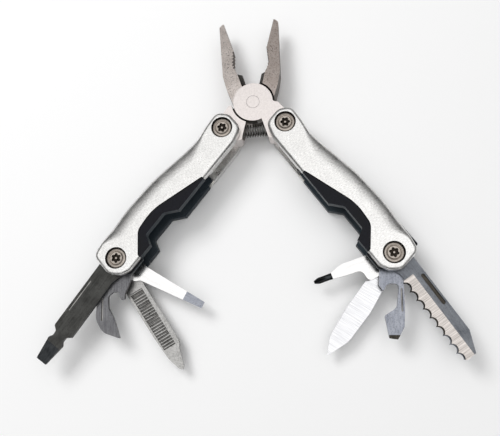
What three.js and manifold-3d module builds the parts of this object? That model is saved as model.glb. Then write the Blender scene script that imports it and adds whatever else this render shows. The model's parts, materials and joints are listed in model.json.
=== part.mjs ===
// Pliers multi tool, opened: sprung pliers between two folding handles, four tools in each handle.
// Millimetres, +Z up. The tool lies flat on Z = 0, with the jaws towards +Y.
import * as THREE from 'three';
import { mergeVertices } from 'three/addons/utils/BufferGeometryUtils.js';
import Module from 'manifold-3d';

const wasm = await Module();
wasm.setup();

// ---- Driving dimensions -------------------------------------------------------------------
const THICKNESS = 16; // over the front and rear scales
const MID = THICKNESS / 2; // the pliers' lap plane
const CHANNEL = 7.6; // clear width between the two inner faces of a handle
const LINER = 1.4; // black liner plate under each scale
const HANDLE_PITCH = 60; // jaw-end screw to tool-end screw
const SLEEVE_R = 1.9; // sleeve that the arms and the tools turn on
const HOLE_R = 2.05; // hole for that sleeve
const TANG_R = 4.4; // round root of every tool
const SCREW_HEAD_R = 3.65;
const COUNTERBORE_R = 4.1;

const HEAD_THICKNESS = 7.4; // pliers head and arms
const DISC_R = 7.3; // round lap joint of the pliers
const LAP_GAP = 0.1; // between the two half discs
const JAW_REACH = 34.7; // main rivet to the jaw tips
const ARM_REACH = 15.4; // main rivet to a handle's jaw-end screw
const ARM_HALF_ANGLE = 32.3; // arm from the closing line, pliers closed
const OPEN_HALF = 15.7; // each half of the pliers turns this far when the spring opens it
const LEAN = 3.2; // the open pliers' closing line, from +Y

const RIGHT_HANDLE = 37.16; // from -Y towards +X
const LEFT_HANDLE = -38.45;

// Tool layers from the front to the rear of a handle, as [low, high].
const LAYERS = [[10.0, 11.6], [8.2, 9.8], [6.2, 8.0], [4.4, 6.0]];

// ---- Materials ----------------------------------------------------------------------------
const finish = (color, roughness, metalness) =>
  new THREE.MeshStandardMaterial({ color, roughness, metalness });
const ALUMINIUM = finish(0xd9dadb, 0.5, 1);
const PLASTIC = finish(0x1b1f24, 0.5, 0);
const SCREW_STEEL = finish(0x8a857f, 0.4, 1);
const PLIERS_STEEL = finish(0xb9b4ad, 0.45, 1);
const SPRING_STEEL = finish(0xc8c8c8, 0.25, 1);
const DARK_STEEL = finish(0x4c4f53, 0.4, 1);
const BLADE_STEEL = finish(0xd2d4d6, 0.28, 1);
const GREY_STEEL = finish(0x8d8f92, 0.4, 1);

// ---- Small modelling kit ------------------------------------------------------------------
const radians = THREE.MathUtils.degToRad;

// An outline from corners [x, y] or [x, y, radius]: a corner with a radius is rounded off.
function outline(corners) {
  const shape = new THREE.Shape();
  corners.forEach(([x, y, radius = 0], i) => {
    const corner = new THREE.Vector2(x, y);
    const before = new THREE.Vector2(...corners.at(i - 1).slice(0, 2)).sub(corner);
    const after = new THREE.Vector2(...corners[(i + 1) % corners.length].slice(0, 2)).sub(corner);
    const half = Math.acos(before.dot(after) / before.length() / after.length()) / 2;
    const reach = Math.min(radius / Math.tan(half), 0.48 * before.length(), 0.48 * after.length());
    const start = corner.clone().addScaledVector(before.normalize(), reach);
    const end = corner.clone().addScaledVector(after.normalize(), reach);
    if (i === 0) shape.moveTo(start.x, start.y);
    else shape.lineTo(start.x, start.y);
    if (reach > 0) shape.quadraticCurveTo(x, y, end.x, end.y);
  });
  shape.closePath();
  return shape;
}

// A closed geometry as a solid that can be joined and cut.
function solid(geometry) {
  geometry.deleteAttribute('normal');
  geometry.deleteAttribute('uv');
  const merged = mergeVertices(geometry, 1e-4);
  return new wasm.Manifold(new wasm.Mesh({
    numProp: 3,
    vertProperties: merged.attributes.position.array,
    triVerts: merged.index.array,
  }));
}

// A flat plate of the given corners between two heights, with broken edges if asked.
function plate(corners, low, high, bevel = 0, curveSegments = 4) {
  const geometry = new THREE.ExtrudeGeometry(outline(corners), {
    depth: high - low - 2 * bevel,
    curveSegments,
    bevelEnabled: bevel > 0,
    bevelThickness: bevel,
    bevelSize: bevel,
    bevelOffset: -bevel,
    bevelSegments: 1,
  });
  return solid(geometry.translate(0, 0, low + bevel));
}

// A round post or hole about a vertical line.
function post(x, y, radius, low, high, sides = 28) {
  const geometry = new THREE.CylinderGeometry(radius, radius, high - low, sides);
  return solid(geometry.rotateX(Math.PI / 2).translate(x, y, (low + high) / 2));
}

// A bar that runs along -Y from one station to the next, with its section in X and Z.
function bar(section, from, to) {
  const shape = new THREE.Shape(section.map(([x, z]) => new THREE.Vector2(x, z)));
  const geometry = new THREE.ExtrudeGeometry(shape, { depth: to - from, bevelEnabled: false });
  return solid(geometry.rotateX(Math.PI / 2).translate(0, -from, 0));
}

const join = (...solids) => solids.reduce((all, next) => all.add(next));
const cut = (body, ...cutters) => cutters.reduce((left, next) => left.subtract(next), body);

// The finished solid as a named mesh.
function part(name, body, material) {
  const { vertProperties, triVerts } = body.getMesh();
  const geometry = new THREE.BufferGeometry();
  geometry.setAttribute('position', new THREE.BufferAttribute(vertProperties, 3));
  geometry.setIndex(new THREE.BufferAttribute(triVerts, 1));
  geometry.computeVertexNormals();
  const mesh = new THREE.Mesh(geometry, material);
  mesh.name = name;
  return mesh;
}

// A group turned about a vertical line through x, y.
function turned(x, y, degrees, ...children) {
  const group = new THREE.Group();
  group.position.set(x, y, 0);
  group.rotation.z = radians(degrees);
  group.add(...children);
  return group;
}

// Handle and tool outlines are drawn as [along, across, radius]. "Along" runs from the screw
// towards the free end (-Y); "across" points to the side that the tools fold from.
const drawn = (side, corners) => corners.map(([along, across, r]) => [side * across, -along, r]);

// ---- Pliers -------------------------------------------------------------------------------
// Both halves are drawn closed: x = 0 is the closing line and the rivet is the origin. The front
// half is the left jaw, the front disc and the right arm; the rear half is its mirror image.
const ARM_END = [
  ARM_REACH * Math.sin(radians(ARM_HALF_ANGLE)),
  -ARM_REACH * Math.cos(radians(ARM_HALF_ANGLE)),
];
const HEAD_LOW = MID - HEAD_THICKNESS / 2;
const HEAD_HIGH = MID + HEAD_THICKNESS / 2;
const TIP_THICKNESS = 3.6;
const TAPER_START = 11; // the jaws get thinner from here to the tips
const ARM_END_R = 4.3;
const RIVET_R = 2.4;
const SPRING_Y = -10.2; // coil spring, below the rivet on the closing line
const SPRING_R = 2.45; // to the middle of the wire
const WIRE_R = 0.25;
const SPRING_LENGTH = 9.6;
const SPRING_TURNS = 9.5;
const POCKET_Y = -10.8; // spring pocket in each arm, pliers closed
const POCKET_R = 3.2;
const POCKET_DEPTH = 2.9;

const JAW = [
  [-7.0, 0], [-7.6, 8.4, 4], [-7.3, 13.6, 3], [-2.2, 33.9, 0.9], [-0.8, JAW_REACH, 0.4],
  [-0.16, JAW_REACH - 0.1], [-0.16, 22.4], [-2.0, 17.2, 3], [-2.2, 14.0, 0.8],
  [-0.16, 12.9], [-0.16, 8.7], [-1.9, 8.3], [-1.5, 0],
];
const ARM = [
  [0.9, 0], [7.0, 0], [7.1, -2.4, 1], [8.7, -3.4, 1.2], [10.8, -8.6, 6], [12.7, -13.0, 3],
  [11.6, -17.0, 3], [7.6, -17.6, 3], [2.6, -15.9, 1.5], [0.95, -14.9, 0.3], [0.9, -7],
];

// Cutters that thin the jaw towards its tip, one above and one below.
function jawTapers() {
  const drop = (HEAD_THICKNESS - TIP_THICKNESS) / 2;
  const profile = (face, sign) => [
    [TAPER_START, face], [JAW_REACH + 1, face - sign * drop],
    [JAW_REACH + 1, face + sign], [TAPER_START, face + sign],
  ];
  return [profile(HEAD_HIGH, 1), profile(HEAD_LOW, -1)].map((points) => {
    const shape = new THREE.Shape(points.map(([y, z]) => new THREE.Vector2(y, z)));
    const geometry = new THREE.ExtrudeGeometry(shape, { depth: 20, bevelEnabled: false });
    const [x, y, z] = [[1, 0, 0], [0, 1, 0], [0, 0, 1]].map((axis) => new THREE.Vector3(...axis));
    geometry.applyMatrix4(new THREE.Matrix4().makeBasis(y, z, x));
    return solid(geometry.translate(-10, 0, 0));
  });
}

function springPocket() {
  const geometry = new THREE.CylinderGeometry(POCKET_R, POCKET_R, POCKET_DEPTH, 24);
  return solid(geometry.rotateZ(Math.PI / 2).translate(POCKET_DEPTH / 2, POCKET_Y, MID));
}

function pliersHalf(isFront) {
  const disc = post(0, 0, DISC_R, MID + LAP_GAP / 2, HEAD_HIGH, 48);
  const otherDisc = post(0, 0, DISC_R + 0.5, HEAD_LOW - 1, MID + LAP_GAP / 2, 48);
  const jaw = cut(plate(JAW, HEAD_LOW, HEAD_HIGH), ...jawTapers());
  const arm = join(
    plate(ARM, HEAD_LOW, HEAD_HIGH),
    post(...ARM_END, ARM_END_R, HEAD_LOW, HEAD_HIGH),
  );
  const half = cut(
    cut(join(jaw, arm), otherDisc).add(disc),
    springPocket(),
    post(0, 0, RIVET_R + 0.1, HEAD_LOW - 1, HEAD_HIGH + 1),
    post(...ARM_END, HOLE_R, HEAD_LOW - 1, HEAD_HIGH + 1),
  );
  return isFront ? half : half.mirror([1, 0, 0]).mirror([0, 0, 1]).translate([0, 0, THICKNESS]);
}

class Coil extends THREE.Curve {
  getPoint(t, target = new THREE.Vector3()) {
    const angle = 2 * Math.PI * SPRING_TURNS * t;
    return target.set((t - 0.5) * SPRING_LENGTH, SPRING_R * Math.cos(angle), SPRING_R * Math.sin(angle));
  }
}

function coilSpring() {
  const wire = new THREE.Shape().absarc(0, 0, WIRE_R, 0, 2 * Math.PI);
  const geometry = new THREE.ExtrudeGeometry(wire, {
    steps: Math.round(SPRING_TURNS * 12),
    curveSegments: 3,
    extrudePath: new Coil(),
  });
  return solid(geometry.translate(0, SPRING_Y, MID));
}

// ---- Handles ------------------------------------------------------------------------------
// Drawn in the handle's own frame: the jaw-end screw is at 0 and the tool-end screw at
// HANDLE_PITCH along; the tools fold in from the positive side across.
const CHANNEL_HIGH = MID + CHANNEL / 2;
const POCKET_ROOF = CHANNEL_HIGH + LINER + 0.1; // scale above its liner
const COUNTERBORE_FLOOR = 14.1;
const INSERT_TOP = 15.6;
const INSERT_GAP = 0.2;
const LINER_START = 16;

const SCALE = [
  [1.5, 6.8, 6], [-4.2, 5.4, 4], [-5.6, -1.2, 4], [-3.2, -5.4, 3.5], [3.0, -5.1, 6],
  [8.5, -4.3, 12], [17.0, -6.0, 40], [31.0, -8.4, 60], [45.0, -9.0, 60], [59.0, -7.9, 20],
  [64.4, -7.0, 3], [66.2, 1.4, 4], [63.6, 5.2, 4], [60.5, 6.8, 3],
];
const LINER_OUTLINE = [
  [LINER_START, 6.2], [32.8, 6.2, 1], [37.0, 2.8, 1], [47.3, 2.8, 1], [49.4, 6.2, 0.8],
  [54.0, 6.2, 0.6], [54.8, 7.4, 0.6], [61.2, 7.4, 1.5], [64.0, 3.6, 3], [64.6, -1.0, 3],
  [62.6, -6.0, 2], [45.0, -7.4, 60], [31.0, -7.0, 60], [LINER_START, -4.5],
];

// The insert in the scale's window, smaller by a gap on the sides that the scale surrounds.
function insertOutline(gap, innerEdge) {
  return [
    [18.4 + gap, innerEdge, 0.4], [18.7 + gap, 5.8 + gap, 0.6], [39.0, -0.9 + gap, 40],
    [47.6, -0.2 + gap, 5], [54.4 - gap, 5.6 + gap, 0.6], [54.8 - gap, innerEdge, 0.4],
  ];
}

// What the finger notch takes out of an insert, so that a nail reaches the folded tools.
const FINGER_NOTCH = [
  [32.4, 8.5], [33.0, 6.7, 1.5], [37.3, 3.0, 1.2], [47.0, 3.0, 1.2], [49.0, 6.5, 0.8], [49.2, 8.5],
];

function scale(side) {
  const bevelled = plate(drawn(side, SCALE), CHANNEL_HIGH - 2, THICKNESS, 1.0);
  const below = plate(drawn(side, [[-9, -12], [70, -12], [70, 12], [-9, 12]]), 0, CHANNEL_HIGH);
  const linerPocket = plate(
    drawn(side, [[LINER_START - 0.2, -12], [70, -12], [70, 12], [LINER_START - 0.2, 12]]),
    0, POCKET_ROOF,
  );
  const window = plate(drawn(side, insertOutline(0, 9)), 0, THICKNESS + 1);
  const bores = [0, HANDLE_PITCH].flatMap((along) => [
    post(0, -along, COUNTERBORE_R, COUNTERBORE_FLOOR, THICKNESS + 1),
    post(0, -along, HOLE_R, 0, THICKNESS, 24),
  ]);
  return cut(bevelled, below, linerPocket, window, ...bores);
}

function insert(side) {
  const liner = plate(drawn(side, LINER_OUTLINE), CHANNEL_HIGH, CHANNEL_HIGH + LINER);
  const raised = plate(drawn(side, insertOutline(INSERT_GAP, 6.7)), CHANNEL_HIGH, INSERT_TOP);
  const notch = plate(drawn(side, FINGER_NOTCH), 0, THICKNESS + 1);
  return cut(join(liner, raised), notch, post(0, -HANDLE_PITCH, HOLE_R, 0, THICKNESS, 24));
}

// Turns a front piece over to the rear face of the handle.
const toRear = (body) => body.mirror([0, 0, 1]).translate([0, 0, THICKNESS]);

// Comb of four back springs, one for each tool, that also spaces the scales.
function backSprings(side) {
  const block = plate(drawn(side, [
    [49.5, -8.2, 1.2], [54.0, -8.8, 3], [62.6, -8.9, 0.8], [63.0, -5.0, 0.6],
    [55.2, -4.9], [54.2, -5.5, 0.5], [50.0, -5.5, 0.8],
  ]), CHANNEL_HIGH - CHANNEL + 0.15, CHANNEL_HIGH - 0.15);
  const slots = LAYERS.slice(1).map(([, high]) =>
    plate(drawn(side, [[48, -10], [60, -10], [60, -4], [48, -4]]), high, high + 0.2));
  return cut(block, ...slots);
}

// ---- Pivot screws -------------------------------------------------------------------------
// A sleeve nut comes from the rear and a screw from the front; both have a six-lobed recess
// with a pin in it.
const HEAD_TOP = THICKNESS - 0.3;
const HEAD_FLOOR = COUNTERBORE_FLOOR + 0.1;
const SHANK_R = 1.05;
const BORE_R = 1.3;
const RECESS_DEPTH = 0.9;

function recess(depth) {
  const lobes = Array.from({ length: 12 }, (_, i) => {
    const radius = i % 2 ? 1.1 : 1.7;
    const angle = (i * Math.PI) / 6;
    return [radius * Math.cos(angle), radius * Math.sin(angle)];
  });
  return cut(
    plate(lobes, HEAD_TOP - depth, HEAD_TOP + 1),
    post(0, 0, 0.42, HEAD_TOP - depth, HEAD_TOP + 1, 8),
  );
}

function screwHead() {
  const flange = post(0, 0, SCREW_HEAD_R, HEAD_FLOOR, HEAD_TOP, 28);
  return cut(flange, recess(RECESS_DEPTH));
}

function pivotScrew() {
  return screwHead().add(post(0, 0, SHANK_R, 5, HEAD_FLOOR + 0.2, 16));
}

function sleeveNut() {
  const sleeve = post(0, 0, SLEEVE_R, THICKNESS - HEAD_FLOOR - 0.2, CHANNEL_HIGH + 1.1, 24);
  return cut(toRear(screwHead()).add(sleeve), post(0, 0, BORE_R, 4, THICKNESS, 16));
}

// ---- Tools --------------------------------------------------------------------------------
// Drawn along from the tool-end screw. "Across" is positive on the side that leads when the
// tool folds; a negative side is the back that shows along the open edge of the handle.

// Long groove for a fingernail in the front face of a tool.
function nailNick(side, from, to, across, width, top) {
  const w = width / 2;
  const corners = [[from, across - w, w], [to, across - w, w], [to, across + w, w], [from, across + w, w]];
  return plate(drawn(side, corners), top - 0.6, top + 1, 0, 3);
}

// Takes a wedge off a face: nothing at "start" across, and "depth" at "edge" across.
function grind(side, from, to, start, edge, face, depth) {
  const up = Math.sign(depth);
  return bar([
    [side * start, face], [side * edge, face - depth],
    [side * edge, face + up], [side * start, face + up],
  ], from, to);
}

const TANG_START = [0, -TANG_R + 0.1];
const TANG_END = [0, TANG_R - 0.1];

const SAW = [
  TANG_START, [4, -5.0, 2], [34.6, -5.0, 2], [41.8, -2.0, 0.5], [42.1, 1.6, 0.4], [40.4, 3.2],
  [10.2, 3.2], [9.0, 2.0, 0.8], [6.5, 2.3, 1.5], [3.4, 4.3, 1], TANG_END,
];
const SCALLOPS = 9;
const SCALLOP_PITCH = 3.55;
const SCALLOP_R = 1.9;
const SCALLOP_START = 11.9; // along, to the middle of the first scallop
const SCALLOP_ACROSS = 3.8;
const SAW_GRIND = 1.1; // taken off the toothed edge
const KNIFE_GRIND = 0.7; // taken off each face at the cutting edge

const BOTTLE_OPENER = [
  TANG_START, [6, -3.3, 2], [19.2, -3.4, 4], [24.6, -3.0, 3], [28.8, -0.7, 0.3], [28.4, 2.2, 0.4],
  [20.8, 3.5, 1], [18.2, -0.7, 2.5], [9.9, -1.9, 2], [9.9, 2.3, 2], [12.6, 3.5, 0.5],
  [10.2, 5.0, 1], [5.5, 4.6, 2], TANG_END,
];
const KNIFE = [
  TANG_START, [8, -3.4, 3], [20.5, -4.3, 20], [33.5, -3.3, 12], [41.3, 0.4, 0.2],
  [35.0, 3.1, 10], [23, 3.5, 20], [12.4, 2.9, 0.4], [11.4, 1.7, 0.8], [8, 2.1, 1.5],
  [3.6, 4.2, 1], TANG_END,
];
const PHILLIPS = [
  TANG_START, [5, -4.9, 3], [10.6, -5.6, 1.8], [11.6, -1.2, 2.2], [18, -1.0, 4], [22, -0.6, 3],
  [28.0, -0.6, 0.4], [28.7, 0.2], [28.7, 0.9], [28.0, 1.7, 0.4], [22, 1.7, 3], [18, 3.2, 4],
  [8, 3.2, 2], [3.6, 4.3, 1], TANG_END,
];
const LONG_DRIVER = [
  TANG_START, [4, -5.0, 2], [31.9, -5.0, 0.8], [33.2, -3.3, 0.9], [35.0, -3.2, 0.9],
  [36.3, -4.1, 0.8], [44.7, -3.2, 0.2], [44.7, 1.0, 0.2], [36.3, 2.0, 0.8], [35.0, 1.1, 0.9],
  [33.2, 1.2, 0.9], [31.9, 2.9, 0.8], [8, 2.9, 2], [3.6, 4.3, 1], TANG_END,
];
const CAN_OPENER = [
  TANG_START, [6, -5.6, 4], [15.5, -8.6, 3], [21.0, -8.9, 6], [25.6, -6.2, 5], [27.8, 0, 0.3],
  [20.9, -2.2, 8], [16.9, -4.4, 3], [12.8, -4.5, 1.5], [11.4, -2.8, 1], [11.4, -0.5, 0.5],
  [12.9, -0.4, 0.3], [14.3, 0.4, 0.4], [13.9, 1.6, 0.5], [12.2, 1.6, 1], [7.5, 3.6, 2], TANG_END,
];
const FILE = [
  TANG_START, [12.4, -4.8, 3], [30.4, -3.6, 20], [39, -2.6, 8], [43.6, -1.0, 0.6], [44.8, 0, 0.5],
  [43.6, 1.0, 0.6], [37.4, 2.7, 0.8], [35.6, 3.8, 0.6], [11.7, 2.4, 1], [8, 2.4, 1.5],
  [3.6, 4.3, 1], TANG_END,
];
const SMALL_DRIVER = [
  TANG_START, [7.6, -4.4, 1.6], [9.4, -3.1, 1.2], [34, -1.7, 0.3], [34, 0.7, 0.3],
  [9, 2.2, 2], [3.6, 4.3, 1], TANG_END,
];

function blade(side, corners, [low, high]) {
  const tang = post(0, 0, TANG_R, low, high);
  const hole = post(0, 0, HOLE_R, low - 1, high + 1, 24);
  return cut(join(plate(drawn(side, corners), low, high), tang), hole);
}

function saw(side, [low, high]) {
  const scallops = Array.from({ length: SCALLOPS }, (_, i) => {
    const along = SCALLOP_START + i * SCALLOP_PITCH;
    return post(side * SCALLOP_ACROSS, -along, SCALLOP_R, low - 1, high + 1, 20);
  });
  return cut(
    blade(side, SAW, [low, high]), ...scallops,
    grind(side, 9.4, 44, -1.3, 3.4, high, SAW_GRIND),
    nailNick(side, 11, 23.4, -3.7, 1.3, high),
  );
}

function knife(side, [low, high]) {
  return cut(
    blade(side, KNIFE, [low, high]),
    grind(side, 12.6, 44, -1.6, 3.8, high, KNIFE_GRIND),
    grind(side, 12.6, 44, -1.6, 3.8, low, -KNIFE_GRIND),
  );
}

function bottleOpener(side, [low, high]) {
  return cut(
    blade(side, BOTTLE_OPENER, [low, high]),
    nailNick(side, 11.5, 19.5, -2.4, 0.7, high),
  );
}

function phillips(side, [low, high]) {
  return blade(side, PHILLIPS, [low, high]);
}

function longDriver(side, [low, high]) {
  return cut(
    blade(side, LONG_DRIVER, [low, high]),
    nailNick(side, 12, 25, -4.2, 0.8, high),
  );
}

function canOpener(side, [low, high]) {
  return cut(
    blade(side, CAN_OPENER, [low, high]),
    nailNick(side, 14.5, 21.5, -7.4, 0.8, high),
  );
}

function nailFile(side, [low, high]) {
  return blade(side, FILE, [low, high]);
}

function smallDriver(side, [low, high]) {
  return blade(side, SMALL_DRIVER, [low, high]);
}

// "open" is the angle from the folded place, in degrees: 180 points straight out of the handle.
const RIGHT_TOOLS = [
  { name: 'saw', make: saw, open: 177.4, material: BLADE_STEEL },
  { name: 'bottle_opener', make: bottleOpener, open: 142.8, material: GREY_STEEL },
  { name: 'phillips_driver', make: phillips, open: 72.3, material: GREY_STEEL },
  { name: 'knife', make: knife, open: 109.1, material: BLADE_STEEL },
];
const LEFT_TOOLS = [
  { name: 'long_driver', make: longDriver, open: 177.4, material: DARK_STEEL },
  { name: 'can_opener', make: canOpener, open: 140.2, material: DARK_STEEL },
  { name: 'small_driver', make: smallDriver, open: 79.1, material: BLADE_STEEL },
  { name: 'file', make: nailFile, open: 111, material: GREY_STEEL },
];

// ---- Assembly -----------------------------------------------------------------------------
function handle(name, side, tools) {
  const place = (along, piece) => {
    piece.position.y = -along;
    return piece;
  };
  return [
    part(`${name}_front_scale`, scale(side), ALUMINIUM),
    part(`${name}_rear_scale`, toRear(scale(side)), ALUMINIUM),
    part(`${name}_front_insert`, insert(side), PLASTIC),
    part(`${name}_rear_insert`, toRear(insert(side)), PLASTIC),
    part(`${name}_back_springs`, backSprings(side), PLASTIC),
    part(`${name}_jaw_end_screw`, pivotScrew(), SCREW_STEEL),
    part(`${name}_jaw_end_sleeve_nut`, sleeveNut(), SCREW_STEEL),
    place(HANDLE_PITCH, part(`${name}_tool_end_screw`, pivotScrew(), SCREW_STEEL)),
    place(HANDLE_PITCH, part(`${name}_tool_end_sleeve_nut`, sleeveNut(), SCREW_STEEL)),
    ...tools.map(({ name: tool, make, open, material }, i) =>
      turned(0, -HANDLE_PITCH, side * (180 - open), part(tool, make(side, LAYERS[i]), material))),
  ];
}

const frontTurn = LEAN + OPEN_HALF;
const rearTurn = LEAN - OPEN_HALF;
const pliers = new THREE.Group();
pliers.add(
  turned(
    0, 0, frontTurn,
    part('front_jaw', pliersHalf(true), PLIERS_STEEL),
    part('rivet', post(0, 0, RIVET_R, HEAD_LOW, HEAD_HIGH, 36), PLIERS_STEEL),
    turned(...ARM_END, RIGHT_HANDLE - frontTurn, ...handle('right', -1, RIGHT_TOOLS)),
  ),
  turned(
    0, 0, rearTurn,
    part('rear_jaw', pliersHalf(false), PLIERS_STEEL),
    turned(-ARM_END[0], ARM_END[1], LEFT_HANDLE - rearTurn, ...handle('left', 1, LEFT_TOOLS)),
  ),
  turned(0, 0, LEAN, part('coil_spring', coilSpring(), SPRING_STEEL)),
);

// The origin is the middle of the whole tool's underside.
pliers.updateMatrixWorld(true);
const extent = new THREE.Box3().setFromObject(pliers, true);
const centre = extent.getCenter(new THREE.Vector3());
pliers.position.set(-centre.x, -centre.y, -extent.min.z);

export default pliers;
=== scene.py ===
# %% [markdown]
# # A pliers multi tool, opened out flat
# This lesson dresses a finished frame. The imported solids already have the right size, place and
# joints, so every piece below is a finer copy of one of them, drawn with the broken edges,
# grinding marks and recesses that a workshop would leave. Lengths are written in millimetres and
# turned into metres in one place, the `mm` value.

# %% Load the frame
import bpy
import bmesh
import json
import math
from mathutils import Matrix, Vector

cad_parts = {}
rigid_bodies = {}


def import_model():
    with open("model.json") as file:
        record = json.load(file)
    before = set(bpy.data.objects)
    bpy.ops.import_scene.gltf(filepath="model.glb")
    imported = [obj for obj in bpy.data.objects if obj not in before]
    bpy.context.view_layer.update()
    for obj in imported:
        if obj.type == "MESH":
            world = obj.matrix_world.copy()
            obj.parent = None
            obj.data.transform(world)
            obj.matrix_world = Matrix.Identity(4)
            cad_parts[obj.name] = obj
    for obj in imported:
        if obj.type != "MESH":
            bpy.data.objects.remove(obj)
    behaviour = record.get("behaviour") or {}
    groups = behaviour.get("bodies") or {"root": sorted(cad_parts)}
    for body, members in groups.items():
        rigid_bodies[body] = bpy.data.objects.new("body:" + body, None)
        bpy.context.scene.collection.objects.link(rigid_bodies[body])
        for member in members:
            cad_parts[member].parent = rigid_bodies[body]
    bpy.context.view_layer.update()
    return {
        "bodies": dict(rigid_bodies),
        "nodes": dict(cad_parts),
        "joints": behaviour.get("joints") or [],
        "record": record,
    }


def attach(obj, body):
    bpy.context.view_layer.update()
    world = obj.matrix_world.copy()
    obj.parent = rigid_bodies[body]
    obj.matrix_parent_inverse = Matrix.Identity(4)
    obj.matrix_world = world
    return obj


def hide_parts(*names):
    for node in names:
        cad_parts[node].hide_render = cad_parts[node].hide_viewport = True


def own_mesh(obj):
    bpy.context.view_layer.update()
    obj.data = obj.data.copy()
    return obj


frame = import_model()
mm = 0.001
joints = {joint["name"]: joint for joint in frame["joints"]}

# %% [markdown]
# ## Camera
# The tool lies on a white sheet and is looked at almost straight down, from a little to the right
# and below. The camera is made first, so that every render is framed alike.

# %% Camera
CAMERA_HEIGHT = 236.0
CAMERA_BESIDE = (25.4, -59.7)  # right of and below the middle of the tool
TILT_FORWARD = math.radians(11.82)
TILT_RIGHT = math.radians(6.31)
camera = bpy.data.objects.new("camera", bpy.data.cameras.new("camera"))
camera.data.lens = 46.75
camera.data.clip_start = 0.005
camera.matrix_world = (
    Matrix.Translation(Vector((*CAMERA_BESIDE, CAMERA_HEIGHT)) * mm)
    @ Matrix.Rotation(TILT_RIGHT, 4, "Y")
    @ Matrix.Rotation(TILT_FORWARD, 4, "X")
)
bpy.context.scene.collection.objects.link(camera)
bpy.context.scene.camera = camera
print("camera at", [round(c, 3) for c in camera.matrix_world.translation])

# %% [markdown]
# ## White sheet
# The ground under the tool is plain white. A big flat square is enough, as this camera does not
# reach its edge.

# %% Floor
SHEET_REACH = 1.5  # metres each way
floor_mesh = bpy.data.meshes.new("floor")
corners = [(x * SHEET_REACH, y * SHEET_REACH, 0) for x, y in ((-1, -1), (1, -1), (1, 1), (-1, 1))]
floor_mesh.from_pydata(corners, [], [(0, 1, 2, 3)])
floor = bpy.data.objects.new("floor", floor_mesh)
floor.location.z = -0.05 * mm
bpy.context.scene.collection.objects.link(floor)
paper = bpy.data.materials.new("white_sheet")
paper.use_nodes = True
paper_shader = paper.node_tree.nodes["Principled BSDF"]
paper_shader.inputs["Base Color"].default_value = (0.93, 0.93, 0.93, 1)
paper_shader.inputs["Roughness"].default_value = 0.9
paper_shader.inputs["Specular IOR Level"].default_value = 0.1
floor.data.materials.append(paper)

# %% [markdown]
# ## Light tent
# Polished steel shows its surroundings, so the light is a tent: a bright soft ceiling that the
# flat faces mirror, and a darker band near the horizon that the rounded edges mirror, which draws
# a dark rim around each of them. One soft lamp from the upper left gives the shadows. The
# ceiling is a ramp over the world's own direction, not a picture.

# %% Lights
world = bpy.data.worlds.new("light_tent")
bpy.context.scene.world = world
world.use_nodes = True
tent = world.node_tree
direction = tent.nodes.new("ShaderNodeTexCoord")
height = tent.nodes.new("ShaderNodeSeparateXYZ")
ceiling = tent.nodes.new("ShaderNodeValToRGB")
CEILING = [(0.2, 0.04), (0.55, 0.16), (0.8, 0.5), (0.93, 1.0)]  # height on the dome, brightness
for _ in CEILING[2:]:
    ceiling.color_ramp.elements.new(0.5)
for stop, (position, brightness) in zip(ceiling.color_ramp.elements, CEILING):
    stop.position, stop.color = position, (brightness, brightness, brightness, 1)
tent.links.new(direction.outputs["Generated"], height.inputs[0])
tent.links.new(height.outputs["Z"], ceiling.inputs["Fac"])
tent.links.new(ceiling.outputs["Color"], tent.nodes["Background"].inputs["Color"])
tent.nodes["Background"].inputs["Strength"].default_value = 1.52

lamp = bpy.data.objects.new("window", bpy.data.lights.new("window", "AREA"))
lamp.data.size = 0.3
lamp.data.energy = 2.2
lamp.visible_glossy = False  # the steel mirrors the tent and not the lamp
lamp.location = (-0.3, 0.28, 0.6)
lamp.rotation_euler = (-lamp.location).to_track_quat("-Z", "Y").to_euler()
bpy.context.scene.collection.objects.link(lamp)
bpy.context.scene.view_settings.view_transform = "Standard"
print("light tent and one lamp of", lamp.data.energy, "W")

# %% [markdown]
# ## Drawing outlines
# Almost every piece was stamped from plate, so it starts as a flat outline. A corner is written
# as x, y and a radius, and the radius is turned into a short run of points. Drawing the curves
# this way keeps the numbers few and readable, where a traced outline would need hundreds.

# %% Outline helpers
def rounded(corners, steps=6):
    """Points of an outline whose corners (x, y, radius) are rounded off."""
    points = []
    for i, (x, y, *radius) in enumerate(corners):
        corner = Vector((x, y))
        back = Vector(corners[i - 1][:2]) - corner
        ahead = Vector(corners[(i + 1) % len(corners)][:2]) - corner
        if not radius:
            points.append(corner)
            continue
        reach = radius[0] / math.tan(back.angle(ahead) / 2)
        reach = min(reach, 0.48 * back.length, 0.48 * ahead.length)
        start, end = corner + back.normalized() * reach, corner + ahead.normalized() * reach
        for step in range(steps + 1):
            t = step / steps
            points.append(start * (1 - t) ** 2 + corner * 2 * t * (1 - t) + end * t * t)
    return points


def arc(middle, radius, start, end, steps):
    """Points around part of a circle, from one angle to the other in degrees."""
    angles = [math.radians(start + (end - start) * i / steps) for i in range(steps + 1)]
    return [Vector(middle) + radius * Vector((math.cos(a), math.sin(a))) for a in angles]


def circle(middle, radius, sides=48):
    return arc(middle, radius, 0, 360, sides)[:-1]


def evened(points, spacing):
    """The same closed outline with long edges divided, so that none is over the spacing."""
    filled = []
    for here, there in zip(points, points[1:] + points[:1]):
        pieces = max(1, math.ceil((there - here).length / spacing))
        filled += [here.lerp(there, i / pieces) for i in range(pieces)]
    return filled


square = [(0, 0, 1), (9, 0, 1), (9, 9, 1), (0, 9, 1)]
print("a square with rounded corners has", len(rounded(square)), "points")

# %% [markdown]
# ## From outlines to solids
# One helper makes every solid: it skins a stack of rings and caps both ends. A plate is two
# rings, a screw is twenty, and a spring is hundreds. Extruding curves or using lathe modifiers
# would also do, but one skinning helper is easier to follow and always gives a closed body.

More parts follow.
